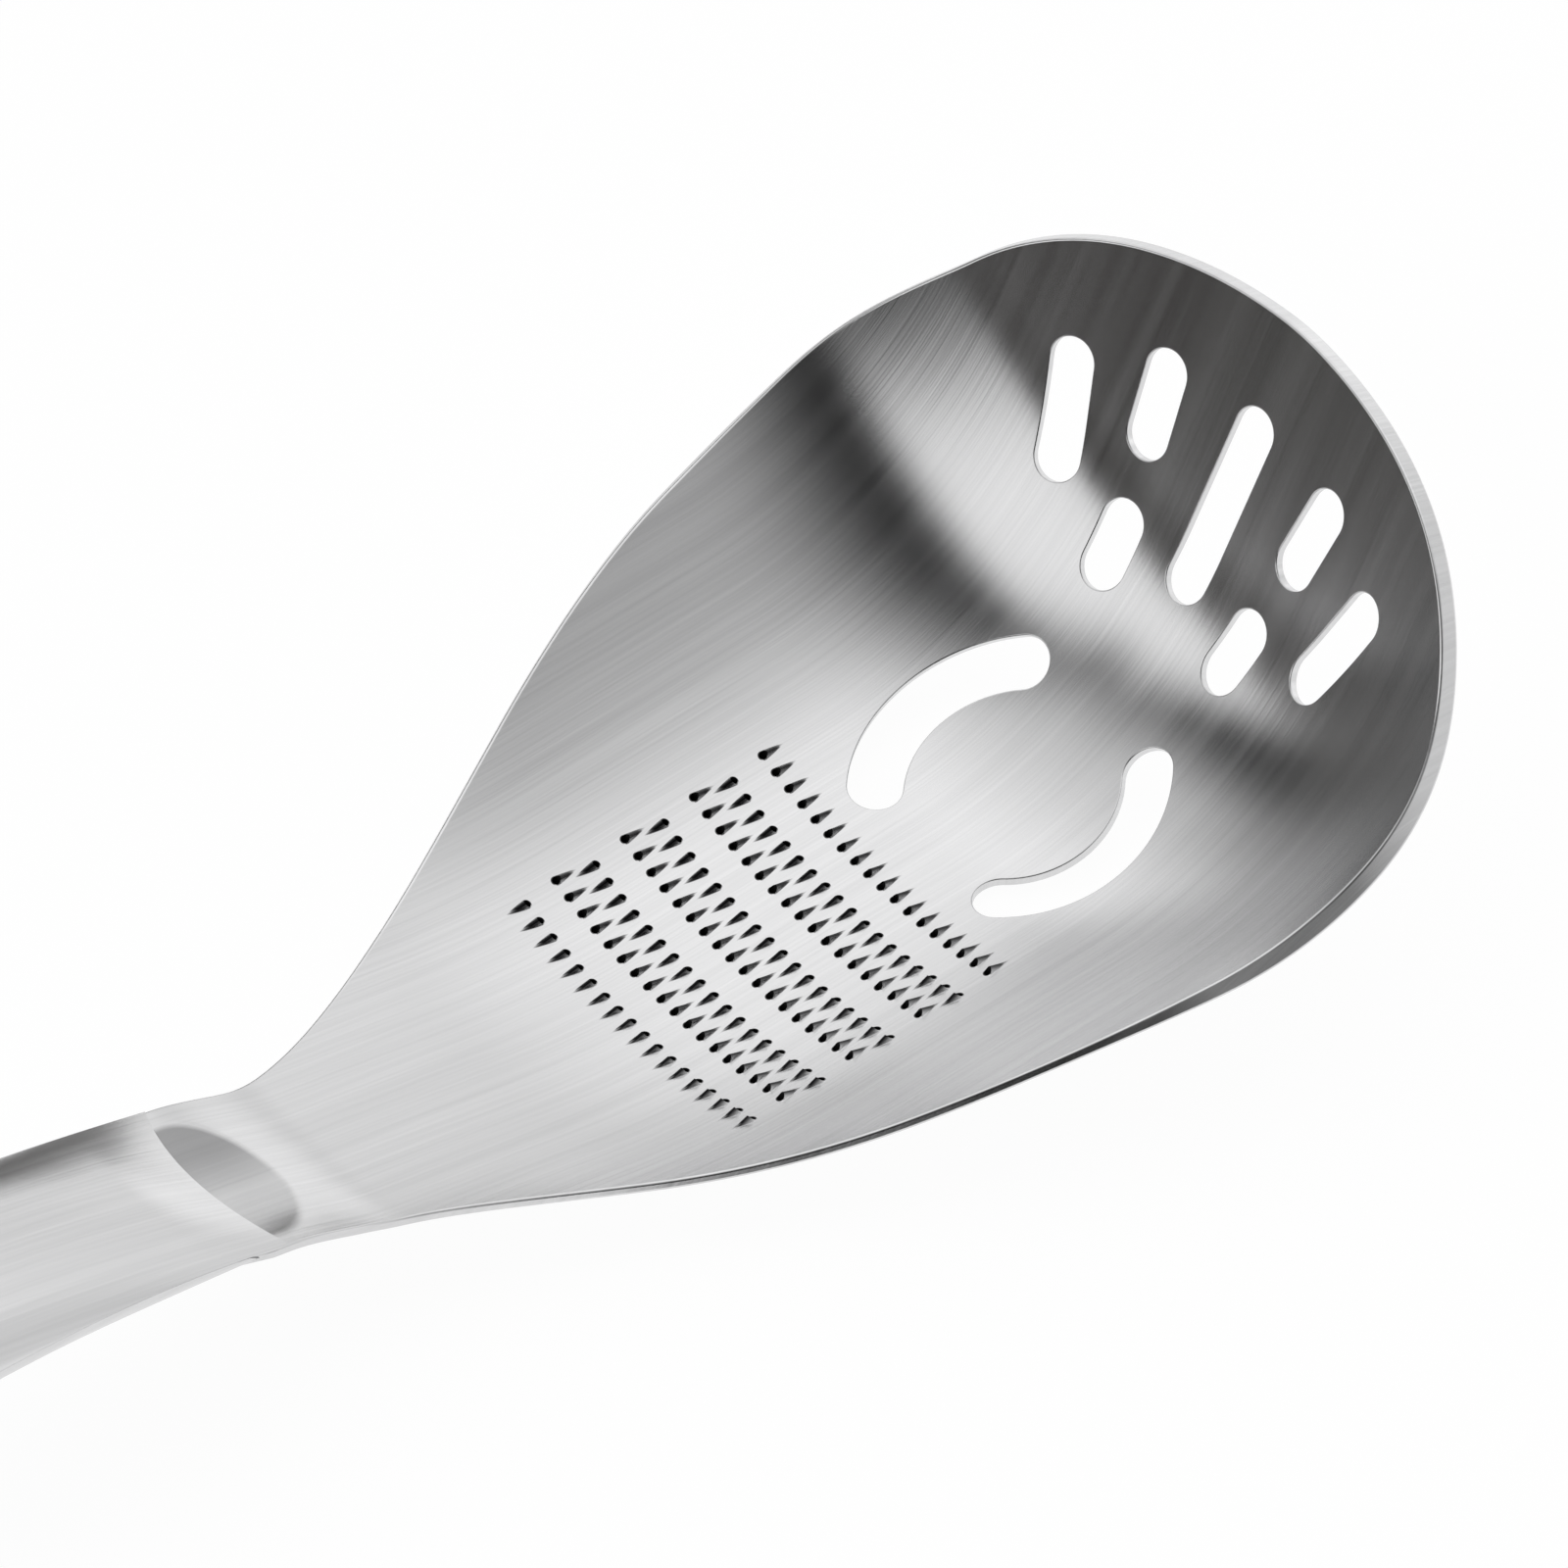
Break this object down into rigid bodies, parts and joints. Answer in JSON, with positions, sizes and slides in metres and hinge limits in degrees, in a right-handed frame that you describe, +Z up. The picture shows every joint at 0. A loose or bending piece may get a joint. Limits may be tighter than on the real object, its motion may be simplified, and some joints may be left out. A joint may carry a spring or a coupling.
{
  "type": "slotted spoon",
  "caption": "Brushed steel slotted spoon: wide pressed bowl with drain slots, a ring of separator slots, a punched grater floor, and a hollow arched handle that ends in a hanging eye.",
  "frame": {"origin": "middle of the bounding box's underside: on the table, under the middle of the spoon's length", "axes": "+X from the handle to the tip of the bowl, +Y to the left of the bowl seen from the handle, +Z up out of the bowl"},
  "size_m": [0.3268, 0.0926, 0.0462],
  "materials": {
    "brushed_steel": "satin, brushed along the spoon"
  },
  "bodies": {
    "root": {"spoon_head": "brushed_steel", "handle_upper_shell": "brushed_steel", "handle_lower_shell": "brushed_steel", "hanging_end": "brushed_steel"}
  },
  "joints": []
}
